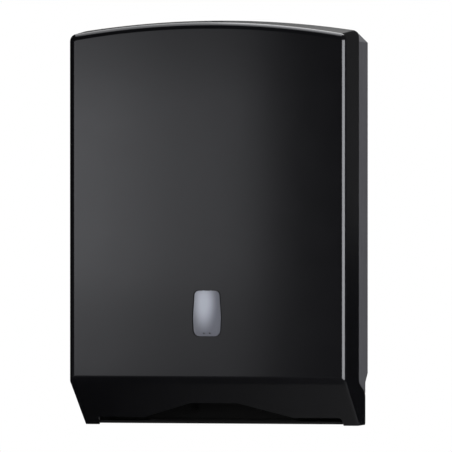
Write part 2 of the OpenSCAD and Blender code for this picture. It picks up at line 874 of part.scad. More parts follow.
// Plan of the hook when it holds the stud, which lies towards the wall
module hook_plan() {
    far = 4 * hook_outer_r;
    difference() {
        circle(r = hook_outer_r);
        circle(r = hook_inner_r);
        rotate(90 - hook_half_angle) translate([-far / 2, -far]) square(far);
        rotate(90 + hook_half_angle) translate([-far / 2, 0]) square(far);
    }
    rotate(90 + hook_half_angle) translate([0, -hook_arm_w / 2]) square([hook_mid_r, hook_arm_w]);
    circle(r = hub_r);
}

module hook_cam() {
    half = square_w / 2;
    color(steel) placed() difference() {
        translate([0, -lock_d, cam_low_h]) linear_extrude(cam_t)
            rotate(hook_open_angle) hook_plan();
        block(-half, half, lock_d - half, lock_d + half, cam_low_h - over, cam_top_h + over);
    }
}

module cam_washer() {
    color(steel) placed() difference() {
        rod_z(0, lock_d, washer_low_h, cam_low_h, cam_washer_r);
        rod_z(0, lock_d, washer_low_h - over, cam_low_h + over, cam_screw_r);
    }
}

module cam_screw() {
    color(steel) placed() {
        rod_z(0, lock_d, washer_low_h, cam_low_h + cam_screw_l, cam_screw_r);
        difference() {
            rod_z(0, lock_d, screw_low_h, washer_low_h, cam_screw_head_r);
            block(-cam_screw_head_r - over, cam_screw_head_r + over,
                  lock_d - driver_slot_w / 2, lock_d + driver_slot_w / 2,
                  screw_low_h - over, screw_low_h + driver_slot_d);
        }
    }
}

rear_housing();
dispensing_tray();
tray_screws();
left_towel_guide();
right_towel_guide();
guide_screws();
left_hinge_pin();
right_hinge_pin();
keeper_bracket();
keeper_stud();
keeper_screws();
front_cover();
sight_window();
lock_barrel();
lock_washer();
lock_nut();
key_plug();
hook_cam();
cam_washer();
cam_screw();
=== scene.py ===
import json
import math

import bmesh
import bpy
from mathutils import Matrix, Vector


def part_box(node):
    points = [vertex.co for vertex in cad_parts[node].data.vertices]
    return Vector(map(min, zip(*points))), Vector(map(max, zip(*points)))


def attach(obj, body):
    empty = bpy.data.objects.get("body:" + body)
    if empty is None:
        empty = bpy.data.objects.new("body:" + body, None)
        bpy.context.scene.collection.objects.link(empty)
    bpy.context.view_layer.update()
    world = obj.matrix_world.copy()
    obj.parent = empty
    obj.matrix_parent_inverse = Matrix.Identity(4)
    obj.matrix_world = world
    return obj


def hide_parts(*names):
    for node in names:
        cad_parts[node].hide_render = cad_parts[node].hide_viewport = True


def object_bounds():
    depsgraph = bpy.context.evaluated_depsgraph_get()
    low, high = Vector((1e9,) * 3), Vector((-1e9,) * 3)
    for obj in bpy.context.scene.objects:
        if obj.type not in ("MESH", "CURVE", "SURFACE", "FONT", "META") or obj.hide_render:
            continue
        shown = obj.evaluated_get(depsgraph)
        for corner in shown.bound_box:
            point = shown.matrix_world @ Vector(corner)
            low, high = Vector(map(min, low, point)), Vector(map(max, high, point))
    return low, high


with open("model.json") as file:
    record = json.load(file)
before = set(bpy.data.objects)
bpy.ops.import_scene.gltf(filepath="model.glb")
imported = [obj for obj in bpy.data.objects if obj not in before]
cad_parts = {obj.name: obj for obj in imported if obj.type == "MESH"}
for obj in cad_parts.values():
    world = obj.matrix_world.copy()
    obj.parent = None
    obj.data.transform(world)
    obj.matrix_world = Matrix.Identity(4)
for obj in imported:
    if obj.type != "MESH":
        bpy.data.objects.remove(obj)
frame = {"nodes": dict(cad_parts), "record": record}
cad_low, cad_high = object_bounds()

# The object's sizes are millimetres, with x across, d from the wall and h above the lowest point

MM = 0.001
COVER_LOW, COVER_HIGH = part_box("front_cover")
ORIGIN_H = -COVER_LOW.z / MM
HALF_W = COVER_HIGH.x / MM
TOP_H = (COVER_HIGH.z - COVER_LOW.z) / MM
FRONT_D = -COVER_LOW.y / MM
EAR_D = -COVER_HIGH.y / MM

# Cover: its rear edge, its wall, and how much smaller its front is than its rear edge
PARTING_D = 59
COVER_WALL = 2.8
SIDE_DRAFT = 2.5
TOP_DRAFT = 4
FRONT_HALF_W = HALF_W - SIDE_DRAFT
INNER_X = HALF_W - COVER_WALL
INNER_D = FRONT_D - COVER_WALL

# Arches of the cover's front and rear edges, how far the rear one is raised, and the cover's top corners
FRONT_ARCH_R = 770
REAR_ARCH_R = 900
REAR_RISE = -0.4
CORNER_R = 7

# Arch of the housing's solid, and the height above which a point belongs to its top
HOUSING_ARCH_R = 780
HOUSING_TOP_H = 376

# Roundings of the cover's front edges, the chin's side edges, the fold above the chin, and all rims
EDGE_R = 6.2
CHIN_EDGE_R = 2.5
FOLD_R = 9.5
RIM_R = 0.4

# Chin, which slopes back from the fold to the lower edge
FOLD_H = 45
CHIN_D = 47
CHIN_SLOPE = FOLD_H / (FRONT_D - CHIN_D)
CHIN_ANGLE = math.atan(CHIN_SLOPE)

# Ears behind the chin, and the share of the way from the chin to them that has faces of its own
EAR_H = 30.5
EAR_TOP_H = 42.5
EAR_BEND_R = 6
EAR_TOP_R = 5
EAR_LOW_R = 3
SIDE_BAND = 0.3

# Slot and finger cut-out in the chin's lower edge
SLOT_HALF_W = 121.1
SLOT_H = 8
SLOT_R = 3
FINGER_W = 147
FINGER_TOP_W = 46
FINGER_H = 23
FINGER_R = 9

# Bosses inside the cover, and the clearance of pieces that fit together
LOCK_BOSS_R = 14
LOCK_BOSS_L = 8
LOCK_HEAD_LIP = 3
HINGE_BOSS_R = 6.5
HINGE_BOSS_L = 4
HINGE_SETBACK = 7
HINGE_H = 12
PIN_BORE_R = 3.05
FIT = 0.05

# Sight window: its outline, which is widest at its belly just below the middle, the gap around it, and
# its flange with the pegs that hold it
WINDOW_W = 27.5
WINDOW_TOP_W = 24
WINDOW_BOTTOM_W = 25.5
WINDOW_H = 44
WINDOW_CENTRE_H = 111
WINDOW_R = 4.5
WINDOW_LOW_R = 6
WINDOW_BELLY_UP = -4
WINDOW_BELLY_R = 45
WINDOW_GAP = 0.8
WINDOW_FLANGE = 5
WINDOW_FLANGE_T = 1.5
PEG_R = 1.1
PEG_X = WINDOW_W / 2 + WINDOW_FLANGE / 2
PEG_UP = WINDOW_H / 2 - WINDOW_R
PEG_END_D = INNER_D - 2 * WINDOW_FLANGE_T

# Lens: its dome, the tabs at its top edge and the small holes near its lower edge
LENS_RECESS = 0.6
LENS_RIM_D = FRONT_D - LENS_RECESS
LENS_RISE = 0.9
LENS_EDGE_R = 0.25
TAB_X = 3.6
TAB_R = 0.7
TAB_DOWN = 0.2
VENT_X = 2.9
VENT_UP = 2.8
VENT_R = 0.75

# How finely round shapes are divided, and how far a cut runs past the face that it opens
ARCH_STEPS = 80
ARCH_CORNER_STEPS = 10
CORNER_STEPS = 6
FILLET_STEPS = 8
EDGE_STEPS = 2
LENS_RINGS = 10
ROD_STEPS = 64
BORE_STEPS = 48
PEG_STEPS = 24
OVER = 1

# Angles at which an edge is rounded, is shaded sharp or counts as flat, and how near points are one
ROUNDED_ANGLE = math.radians(40)
SHARP_ANGLE = math.radians(50)
FLAT_ANGLE = math.radians(0.2)
SAME_POINT = 0.002
# The most that large faces can count in the smooth shading
LARGE_FACE_WEIGHT = 100

# Rounding of the edges of the pieces that keep their CAD shape, by the body that they move with
SOFTENED = {
    "base": {"rear_housing": 0.5, "dispensing_tray": 0.4, "tray_screws": 0.2, "left_towel_guide": 0.4,
             "right_towel_guide": 0.4, "guide_screws": 0.2, "left_hinge_pin": 0.3, "right_hinge_pin": 0.3,
             "keeper_bracket": 0.3, "keeper_stud": 0.3, "keeper_screws": 0.2},
    "cover": {"lock_barrel": 0.25, "lock_washer": 0.15, "lock_nut": 0.3},
    "key": {"key_plug": 0.15, "hook_cam": 0.25, "cam_washer": 0.15, "cam_screw": 0.2},
}

# Materials: the usual span of a noise, where a soft zone is at its full, and the sizes of drifts and lines
NOISE_SPAN = (0.3, 0.7)
ZONE_CORE = 0.15
TONE_DRIFT = 60
GLOSS_DRIFT = 25
METAL_DRIFT = 6
METAL_LINE = 0.4
METAL_LINE_DEPTH = 0.01

# Window plastic: its tones, its gloss and ripples, its painted glow of light coming through, and how far
# behind the front its painted shade starts and ends, which darkens the gap round the lens
WINDOW_DIM = (0.13, 0.135, 0.162, 1)
WINDOW_PAINTED_LIGHT = (0.394, 0.416, 0.483, 1)
WINDOW_PAINTED_SHADE = 0.012
WINDOW_ROUGH = (0.2, 0.26)
WINDOW_GLOSS_DRIFT = 5
WINDOW_RIPPLE = 1.5
WINDOW_RIPPLE_DEPTH = 0.002
WINDOW_CLEAR = 0.1
ACRYLIC_IOR = 1.49
PAINTED_GLOW_X = -3
PAINTED_GLOW_UP = 10
PAINTED_GLOW_HALF = (14, 15, 32)
PAINTED_SHADE_START = 0.7
PAINTED_SHADE_END = 1.6

# Camera at the photo's angle; lengths are metres from here on, but the sensor's width is millimetres
CAMERA_AZIMUTH = math.radians(9.7)
CAMERA_ELEVATION = math.radians(0.42)
CAMERA_DISTANCE = 6.0
CAMERA_REACH = 100
FRAME_WIDTH = 0.4412
AIM_RIGHT = 0.0076
AIM_DOWN = 0.003
SENSOR = 36
MIDDLE = (cad_low + cad_high) / 2

# Key light: layers by their right edge, with their radiance, in bands of height that share it
KEY_Y = -1.13
KEY_LAYER = 0.01
KEY_LEFT = -0.8
KEY_STEPS = {-0.11: 1.16, -0.24: 0.44, -0.29: 0.5}
KEY_BANDS = {(-0.22, 0.24): 0.6, (-0.09, 0.15): 0.4}

# The other soft lights
SOFTBOXES = {
    "right": dict(place=(0.95, -0.5, 0.02), aim=(0.13, -0.12, 0.02), width=0.85, height=0.5,
                  radiance=7.5),
    "overhead": dict(place=(0, 0.25, 1.2), aim=(0, -0.1, 0.19), width=1.2, height=1.7, radiance=2.3),
    "overhead_right": dict(place=(0.22, 0.45, 1.21), aim=(0.22, -0.1, 0.2), width=0.8, height=1.2,
                           radiance=1.8),
}

# World: ambient light, the dark studio from left to right, and the white backdrop in reflections
AMBIENT = 0.5
DARK_ENDS = (-0.4, 0.3)
DARK_LEVELS = (0.004, 0.032)
BACKDROP_RISE = math.radians(23)
BACKDROP_HALF = (0.15, 0.6, 0.33)

# Floor: where its shadows fade to white, and the painted shade and light that reflections see on it, from
# left to right and in front
FLOOR_DROP = 0.15
FLOOR_HALF = 30
FLOOR_FADE = (0.8, 1.5)
FLOOR_PALE = 0.7
FLOOR_ROUGHNESS = 0.9
FLOOR_ENDS = (-0.15, 0.11)
FLOOR_PAINTED_IN_MIRROR = (0.003, 0.07)
FRONT_ENDS = (-0.9, -0.4)
FRONT_PAINTED_IN_MIRROR = (0.16, 0)


# Places


def at(x, d, h):
    """A point across, from the wall and above the lowest point, in the frame's metres."""
    return Vector((x, -d, h - ORIGIN_H)) * MM


def extent(node):
    """Lowest and highest corner of a CAD node, as across, from the wall and above the lowest point."""
    low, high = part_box(node)
    return ((low.x / MM, -high.y / MM, low.z / MM + ORIGIN_H),
            (high.x / MM, -low.y / MM, high.z / MM + ORIGIN_H))


# Flat outlines


def arc_corner(before, corner, after, radius):
    """Points of an arc that rounds one corner of a flat outline."""
    p = (Vector(before) - Vector(corner)).normalized()
    q = (Vector(after) - Vector(corner)).normalized()
    half = p.angle(q) / 2
    centre = Vector(corner) + (p + q).normalized() * radius / math.sin(half)
    start = Vector(corner) + p * radius / math.tan(half) - centre
    end = Vector(corner) + q * radius / math.tan(half) - centre
    turn = -start.angle_signed(end)
    points = []
    for i in range(CORNER_STEPS + 1):
        angle = turn * i / CORNER_STEPS
        points.append((centre.x + start.x * math.cos(angle) - start.y * math.sin(angle),
                       centre.y + start.x * math.sin(angle) + start.y * math.cos(angle)))
    return points


def rounded(corners):
    """A flat outline from a list of (x, y, radius)."""
    points = []
    for i, (x, y, radius) in enumerate(corners):
        if radius == 0:
            points.append((x, y))
        else:
            after = corners[(i + 1) % len(corners)]
            points += arc_corner(corners[i - 1][:2], (x, y), after[:2], radius)
    return points


def arch_outline(half, top, arch_r):
    """Front view of an upper edge, from the right side over the arch to the left side, as (x, h)."""
    inner = arch_r - CORNER_R
    rise = math.sqrt(inner ** 2 - (half - CORNER_R) ** 2)
    centre_h = top - arch_r
    tilt = math.atan2(half - CORNER_R, rise)
    right = []
    for i in range(ARCH_CORNER_STEPS):
        angle = (math.pi / 2 - tilt) * i / ARCH_CORNER_STEPS
        right.append((half - CORNER_R + CORNER_R * math.cos(angle),
                      centre_h + rise + CORNER_R * math.sin(angle)))
    arch = []
    for i in range(ARCH_STEPS + 1):
        angle = tilt * (1 - 2 * i / ARCH_STEPS)
        arch.append((arch_r * math.sin(angle), centre_h + arch_r * math.cos(angle)))
    return right + arch + [(-x, h) for x, h in reversed(right)]


def window_outline(grow):
    """Front view of the window, clockwise from the middle of its top, as (x, h)."""
    half = WINDOW_H / 2 + grow
    low_x, mid_x, top_x = (w / 2 + grow for w in (WINDOW_BOTTOM_W, WINDOW_W, WINDOW_TOP_W))
    right = rounded([(0, half, 0), (top_x, half, WINDOW_R + grow),
                     (mid_x, WINDOW_BELLY_UP, WINDOW_BELLY_R),
                     (low_x, -half, WINDOW_LOW_R + grow), (0, -half, 0)])
    points = right + [(-x, y) for x, y in reversed(right[1:-1])]
    return [(x, y + WINDOW_CENTRE_H) for x, y in points]


def slot_edge():
    """Front view of the chin's lower edge, with slot and finger cut-out, from right to left, as (x, h)."""
    half = [(SLOT_HALF_W, 0, 0), (SLOT_HALF_W, SLOT_H, SLOT_R), (FINGER_W / 2, SLOT_H, FINGER_R),
            (FINGER_TOP_W / 2, FINGER_H, FINGER_R)]
    return rounded(half + [(-x, h, r) for x, h, r in reversed(half)])


# Objects and meshes


def new_object(name, data):
    """A new object in the scene, with its mesh, lamp or camera."""
    obj = bpy.data.objects.new(name, data)
    bpy.context.scene.collection.objects.link(obj)
    return obj


def from_bmesh(name, bm):
    """A new object with the mesh that was built."""
    mesh = bpy.data.meshes.new(name)
    bm.to_mesh(mesh)
    bm.free()
    return new_object(name, mesh)


def settle(obj):
    """Writes an object's modifiers into its mesh."""
    bpy.context.view_layer.update()
    graph = bpy.context.evaluated_depsgraph_get()
    mesh = bpy.data.meshes.new_from_object(obj.evaluated_get(graph))
    obj.modifiers.clear()
    old = obj.data
    obj.data = mesh
    bpy.data.meshes.remove(old)
    mesh.name = obj.name
    return obj


def smooth(obj):
    """Smooth shading that keeps large faces flat."""
    obj.data.polygons.foreach_set("use_smooth", [True] * len(obj.data.polygons))
    obj.data.set_sharp_from_angle(angle=SHARP_ANGLE)
    normals = obj.modifiers.new("normals", "WEIGHTED_NORMAL")
    normals.keep_sharp = True
    normals.weight = LARGE_FACE_WEIGHT
    return obj


def round_edges(obj, width):
    """Rounds every edge that is sharper than ROUNDED_ANGLE."""
    bevel = obj.modifiers.new("edges", "BEVEL")
    bevel.width = width * MM
    bevel.segments = EDGE_STEPS
    bevel.limit_method = "ANGLE"
    bevel.angle_limit = ROUNDED_ANGLE
    bevel.miter_outer = "MITER_ARC"
    return obj


def combine(obj, tool, operation):
    """Joins or cuts an object with another, which is then deleted."""
    boolean = obj.modifiers.new("combine", "BOOLEAN")
    boolean.operation = operation
    boolean.solver = "EXACT"
    boolean.object = tool
    settle(obj)
    bpy.data.objects.remove(tool)
    return obj


def rod(start, end, radius, steps):
    """A closed cylinder between two points."""
    axis = end - start
    side = axis.orthogonal().normalized()
    other = axis.normalized().cross(side)
    bm = bmesh.new()
    rings = []
    for share in (0, 1):
        ring = []
        for i in range(steps):
            turn = 2 * math.pi * i / steps
            reach = radius * MM * (math.cos(turn) * side + math.sin(turn) * other)
            ring.append(bm.verts.new(start + axis * share + reach))
        rings.append(ring)
    low, high = rings
    bm.faces.new(list(reversed(low)))
    bm.faces.new(high)
    for i in range(steps):
        j = (i + 1) % steps
        bm.faces.new([low[i], low[j], high[j], high[i]])
    return from_bmesh("rod", bm)


def rod_x(ends, d, h, radius, steps=ROD_STEPS):
    """A rod across, between two places on x."""
    return rod(*(at(x, d, h) for x in ends), radius, steps)


def rod_d(x, ends, h, radius, steps=ROD_STEPS):
    """A rod that points away from the wall, between two distances from it."""
    return rod(*(at(x, d, h) for d in ends), radius, steps)


def rod_h(x, d, ends, radius, steps=ROD_STEPS):
    """An upright rod, between two heights."""
    return rod(*(at(x, d, h) for h in ends), radius, steps)


# Shader nodes


def feed(tree, socket, value):
    """Sets a socket to a value, or links it to another socket."""
    if isinstance(value, bpy.types.NodeSocket):
        tree.links.new(value, socket)
    else:
        socket.default_value = value


def maths(tree, operation, first, second):
    """A Math node of two values, each a number or a socket."""
    node = tree.nodes.new("ShaderNodeMath")
    node.operation = operation
    feed(tree, node.inputs[0], first)
    feed(tree, node.inputs[1], second)
    return node.outputs["Value"]


def vector_maths(tree, operation, *vectors):
    """The outputs of a Vector Math node, whose inputs are vectors or sockets."""
    node = tree.nodes.new("ShaderNodeVectorMath")
    node.operation = operation
    for socket, vector in zip(node.inputs, vectors):
        feed(tree, socket, vector)
    return node.outputs


def map_range(tree, value, ends, levels=(0, 1), interpolation="LINEAR"):
    """A level that goes from the first to the second as a value goes from one end to the other."""
    node = tree.nodes.new("ShaderNodeMapRange")
    node.interpolation_type = interpolation
    names = ("Value", "From Min", "From Max", "To Min", "To Max")
    for name, given in zip(names, (value, *ends, *levels)):
        feed(tree, node.inputs[name], given)
    return node.outputs["Result"]


def graded(tree, vector, axis, ends, levels=(0, 1)):
    """A level that goes from the first to the second along one axis of a vector."""
    parts = tree.nodes.new("ShaderNodeSeparateXYZ")
    feed(tree, parts.inputs["Vector"], vector)
    return map_range(tree, parts.outputs[axis], ends, levels)


def zone_share(tree, place, centre, half, turn=0):
    """How near a point is to the core of a soft ellipsoid, from 0 at its surface to 1."""
    mapping = tree.nodes.new("ShaderNodeMapping")
    mapping.vector_type = "TEXTURE"
    mapping.inputs["Location"].default_value = centre
    mapping.inputs["Rotation"].default_value = (0, 0, turn)
    mapping.inputs["Scale"].default_value = half
    feed(tree, mapping.inputs["Vector"], place)
    away = vector_maths(tree, "LENGTH", mapping.outputs["Vector"])["Value"]
    return map_range(tree, away, (1, ZONE_CORE), interpolation="SMOOTHSTEP")


def noise(tree, place, size, detail=3, squeeze=(1, 1, 1)):
    """Noise whose features are about a size in millimetres, squeezed by a factor along each axis."""
    mapping = tree.nodes.new("ShaderNodeMapping")
    mapping.inputs["Scale"].default_value = squeeze
    feed(tree, mapping.inputs["Vector"], place)
    texture = tree.nodes.new("ShaderNodeTexNoise")
    texture.inputs["Scale"].default_value = 1 / (size * MM)
    texture.inputs["Detail"].default_value = detail
    feed(tree, texture.inputs["Vector"], mapping.outputs["Vector"])
    return texture.outputs["Fac"]


def blend_colours(tree, value, low, high):
    """A colour between two, each a colour or a socket."""
    node = tree.nodes.new("ShaderNodeMix")
    node.data_type = "RGBA"
    feed(tree, node.inputs["A"], low)
    feed(tree, node.inputs["B"], high)
    feed(tree, node.inputs["Factor"], value)
    return node.outputs["Result"]


def bump(tree, shader, height, depth):
    """Bumps of a depth in millimetres."""
    node = tree.nodes.new("ShaderNodeBump")
    node.inputs["Distance"].default_value = depth * MM
    feed(tree, node.inputs["Height"], height)
    feed(tree, shader.inputs["Normal"], node.outputs["Normal"])


# Materials


def grey(level, blue=1.0):
    """A grey whose blue differs a little from its red and green."""
    return (level, level, level * blue, 1)


def start_material(name):
    """A new material with its node tree, its shader and a texture position in metres."""
    material = bpy.data.materials.new(name)
    material.use_nodes = True
    tree = material.node_tree
    place = tree.nodes.new("ShaderNodeTexCoord").outputs["Object"]
    return material, tree, tree.nodes["Principled BSDF"], place


def plastic(name, dark, light, rough, grain, grain_depth, gloss_tint=(1, 1, 1, 1), gloss=0.5):
    """Moulded plastic: a fine grain, and a gloss and tone that drift over a few centimetres."""
    material, tree, shader, place = start_material(name)
    tone = noise(tree, place, TONE_DRIFT, detail=4)
    feed(tree, shader.inputs["Base Color"], blend_colours(tree, tone, dark, light))
    drift = noise(tree, place, GLOSS_DRIFT, detail=5)
    feed(tree, shader.inputs["Roughness"], map_range(tree, drift, NOISE_SPAN, rough))
    shader.inputs["Specular Tint"].default_value = gloss_tint
    shader.inputs["Specular IOR Level"].default_value = gloss
    bump(tree, shader, noise(tree, place, grain, detail=2), grain_depth)
    return material


def metal(name, dark, light, rough, squeeze):
    """Metal with fine lines across the axis that its noise is squeezed along, and a tone that drifts."""
    material, tree, shader, place = start_material(name)
    shader.inputs["Metallic"].default_value = 1
    lines = noise(tree, place, METAL_LINE, detail=4, squeeze=squeeze)
    tone = noise(tree, place, METAL_DRIFT)
    feed(tree, shader.inputs["Base Color"], blend_colours(tree, tone, dark, light))
    feed(tree, shader.inputs["Roughness"], map_range(tree, lines, NOISE_SPAN, rough))
    bump(tree, shader, lines, METAL_LINE_DEPTH)
    return material


def smoke_plastic(name):
    """Translucent grey window plastic, with a painted glow of light coming through and painted shade behind
    its face.
    """
    material, tree, shader, place = start_material(name)
    # Painted glow: paler towards a soft zone on the lens
    painted_glow_centre = at(PAINTED_GLOW_X, FRONT_D, WINDOW_CENTRE_H + PAINTED_GLOW_UP)
    glow = zone_share(tree, place, painted_glow_centre, Vector(PAINTED_GLOW_HALF) * MM)
    tone = blend_colours(tree, glow, WINDOW_DIM, WINDOW_PAINTED_LIGHT)
    # Painted shade: darker behind the front, on the lens's edge and flange, so the gap round the lens reads
    # dark
    face = graded(tree, place, "Y", ((PAINTED_SHADE_END - FRONT_D) * MM, (PAINTED_SHADE_START - FRONT_D) * MM))
    feed(tree, shader.inputs["Base Color"], blend_colours(tree, face, grey(WINDOW_PAINTED_SHADE), tone))
    drift = noise(tree, place, WINDOW_GLOSS_DRIFT, detail=4)
    feed(tree, shader.inputs["Roughness"], map_range(tree, drift, NOISE_SPAN, WINDOW_ROUGH))
    shader.inputs["IOR"].default_value = ACRYLIC_IOR
    shader.inputs["Transmission Weight"].default_value = WINDOW_CLEAR
    bump(tree, shader, noise(tree, place, WINDOW_RIPPLE, detail=2), WINDOW_RIPPLE_DEPTH)
    return material


PLASTICS = {
    "cover_black": dict(dark=grey(0.003, 1.2), light=grey(0.0045, 1.2), rough=(0.14, 0.16),
                        grain=0.8, grain_depth=0.001, gloss_tint=(0.94, 0.95, 1, 1)),
    "housing_black": dict(dark=grey(0.047, 1.12), light=grey(0.058, 1.12), rough=(0.5, 0.62),
                          grain=0.7, grain_depth=0.05),
    # Black plastic of the inside, made darker than real black plastic as painted shade, so that gaps into
    # the inside read dark
    "inner_black": dict(dark=grey(0.004, 1.05), light=grey(0.0065, 1.05), rough=(0.5, 0.6),
                        grain=0.6, grain_depth=0.02, gloss=0.2),
}
METALS = {
    "steel": dict(dark=grey(0.5), light=grey(0.64), rough=(0.22, 0.38), squeeze=(1, 1, 8)),
    "zinc": dict(dark=grey(0.5, 1.06), light=grey(0.64, 1.04), rough=(0.3, 0.48), squeeze=(6, 1, 1)),
    "lock_chrome": dict(dark=grey(0.22), light=grey(0.26), rough=(0.25, 0.35), squeeze=(1, 6, 1)),
    "plug_brass": dict(dark=(0.24, 0.176, 0.08, 1), light=(0.29, 0.216, 0.104, 1), rough=(0.25, 0.38),
                       squeeze=(1, 6, 1)),
    # Painted shade: a darkened zinc for screws that sit in the gap under the chin
    "shade_dark_zinc": dict(dark=grey(0.02), light=grey(0.035), rough=(0.4, 0.55), squeeze=(1, 1, 8)),
}
# Nodes whose metal is darkened as painted shade for the gap that they sit in
SHADE_DARKENED = {"tray_screws": "shade_dark_zinc"}

materials = {"window_grey": smoke_plastic("window_grey")}
for name, look in PLASTICS.items():
    materials[name] = plastic(name, **look)
for name, look in METALS.items():
    materials[name] = metal(name, **look)


def finish_piece(obj, body, slot, node):
    """Gives a piece its material and the body that it moves with, and hides the CAD node that it stands
    for.
    """
    obj.data.materials.clear()
    # Some screws take a metal darkened as painted shade
    obj.data.materials.append(materials[SHADE_DARKENED.get(node, slot)])
    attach(obj, body)
    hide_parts(node)


# Front cover


def chin_point(x, h):
    """A point on the chin's slope."""
    return at(x, CHIN_D + h / CHIN_SLOPE, h)


def ear_fan(bm, sign, before, corner, after, radius):
    """Points of one rounded corner of an ear, whose corners are (d, h)."""
    return [bm.verts.new(at(sign * HALF_W, d, h)) for d, h in arc_corner(before, corner, after, radius)]


def add_side(bm, sign, front_end, rear_end, fold_end):
    """One side of the cover with its ear; returns the chin's edge there, from the fold down."""
    fans = [ear_fan(bm, sign, (PARTING_D, TOP_H), (PARTING_D, EAR_TOP_H), (EAR_D, EAR_H), EAR_BEND_R),
            ear_fan(bm, sign, (PARTING_D, EAR_TOP_H), (EAR_D, EAR_H), (EAR_D, 0), EAR_TOP_R),
            ear_fan(bm, sign, (EAR_D, EAR_H), (EAR_D, 0), (CHIN_D, 0), EAR_LOW_R)]
    chin = [fold_end]
    for i in range(1, len(fans) + 1):
        chin.append(bm.verts.new(chin_point(sign * FRONT_HALF_W, FOLD_H * (1 - i / len(fans)))))
    # A row of points beside the chin's edge leaves room for its rounding
    ends = [fans[0][0], fans[1][-1], fans[2][-1], fans[2][-1]]
    inner = [bm.verts.new(a.co.lerp(b.co, SIDE_BAND)) for a, b in zip(chin, ends)]
    bm.faces.new([fold_end, inner[0], fans[0][0], rear_end, front_end])
    for i, fan in enumerate(fans):
        bm.faces.new([chin[i], chin[i + 1], inner[i + 1], inner[i]])
        for a, b in zip(fan, fan[1:]):
            bm.faces.new([inner[i], a, b])
        following = [fans[i + 1][0]] if i + 1 < len(fans) else []
        bm.faces.new([inner[i], fan[-1], *following, inner[i + 1]])
    return chin


def cover_skin():
    """Outer surface of the cover with sharp front edges, whose roundings are bevel weights."""
    bm = bmesh.new()
    weight = bm.edges.layers.float.new("bevel_weight_edge")
    front_line = arch_outline(FRONT_HALF_W, TOP_H - TOP_DRAFT, FRONT_ARCH_R)
    rear_line = arch_outline(HALF_W, TOP_H + REAR_RISE, REAR_ARCH_R)
    front = [bm.verts.new(at(x, FRONT_D, h)) for x, h in front_line]
    rear = [bm.verts.new(at(x, PARTING_D, h)) for x, h in rear_line]
    fold = [bm.verts.new(at(x, FRONT_D, FOLD_H)) for x in (FRONT_HALF_W, 0, -FRONT_HALF_W)]
    for i in range(len(front) - 1):
        bm.faces.new([front[i], rear[i], rear[i + 1], front[i + 1]])

    hole = [bm.verts.new(at(x, FRONT_D, h)) for x, h in window_outline(WINDOW_GAP)]
    peak, low = len(front) // 2, len(hole) // 2
    bm.faces.new([fold[0], *front[:peak + 1], *hole[:low + 1], fold[1]])
    bm.faces.new([fold[2], fold[1], *hole[low:], hole[0], *front[peak:]])

    right = add_side(bm, 1, front[0], rear[0], fold[0])
    left = add_side(bm, -1, front[-1], rear[-1], fold[2])
    lower = [bm.verts.new(chin_point(x, h)) for x, h in slot_edge()]
    bm.faces.new([fold[1], *left, *reversed(lower), *reversed(right)])

    def weigh(chain, radius):
        """Gives the edges along a chain of points the radius of their rounding."""
        for a, b in zip(chain, chain[1:]):
            bm.edges.get((a, b))[weight] = radius / EDGE_R

    weigh([fold[0], *front, fold[2]], EDGE_R)
    weigh(fold, FOLD_R * math.tan((math.pi / 2 - CHIN_ANGLE) / 2))
    weigh(right, CHIN_EDGE_R)
    weigh(left, CHIN_EDGE_R)
    bmesh.ops.recalc_face_normals(bm, faces=bm.faces)
    return from_bmesh("front_cover_shell", bm)


def add_lock_boss(cover):
    """Boss under the cover's top, with the recess and the bore that hold the lock."""
    barrel_low, barrel_high = extent("lock_barrel")
    lock_d = (barrel_low[1] + barrel_high[1]) / 2
    head_r = (barrel_high[0] - barrel_low[0]) / 2
    barrel_r = head_r - LOCK_HEAD_LIP
    boss_low_h = extent("lock_washer")[1][2]
    seat_h = boss_low_h + LOCK_BOSS_L
    combine(cover, rod_h(0, lock_d, (boss_low_h, seat_h + COVER_WALL / 2), LOCK_BOSS_R), "UNION")
    combine(cover, rod_h(0, lock_d, (seat_h, TOP_H + OVER), head_r + FIT), "DIFFERENCE")
    combine(cover, rod_h(0, lock_d, (boss_low_h - OVER, TOP_H), barrel_r + FIT), "DIFFERENCE")


def add_hinge_bosses(cover):
    """Bosses inside the ears, with the bores that turn on the hinge pins."""
    hinge_d = EAR_D + HINGE_SETBACK
    boss_end = INNER_X - HINGE_BOSS_L
    wall_middle = INNER_X + COVER_WALL / 2
    for sign in (1, -1):
        boss = (sign * boss_end, sign * wall_middle)
        combine(cover, rod_x(boss, hinge_d, HINGE_H, HINGE_BOSS_R), "UNION")
        bore = (sign * (boss_end - OVER), sign * wall_middle)
        combine(cover, rod_x(bore, hinge_d, HINGE_H, PIN_BORE_R, BORE_STEPS), "DIFFERENCE")


def add_pegs(cover):
    """Pegs behind the front that hold the window's flange."""
    ends = (PEG_END_D, INNER_D + COVER_WALL / 2)
    for x in (-PEG_X, PEG_X):
        for up in (-PEG_UP, PEG_UP):
            combine(cover, rod_d(x, ends, WINDOW_CENTRE_H + up, PEG_R, PEG_STEPS), "UNION")


def add_cover():
    """Front cover: its skin with rounded edges, made a wall thick, and what is inside it."""
    cover = cover_skin()
    fillets = cover.modifiers.new("fillets", "BEVEL")
    fillets.limit_method = "WEIGHT"
    fillets.width = EDGE_R * MM
    fillets.segments = FILLET_STEPS
    wall = cover.modifiers.new("wall", "SOLIDIFY")
    wall.thickness = COVER_WALL * MM
    wall.offset = -1
    wall.use_even_offset = True
    settle(cover)
    settle(round_edges(cover, RIM_R))
    add_lock_boss(cover)
    add_hinge_bosses(cover)
    add_pegs(cover)
    finish_piece(smooth(cover), "cover", "cover_black", "front_cover")


# Sight window


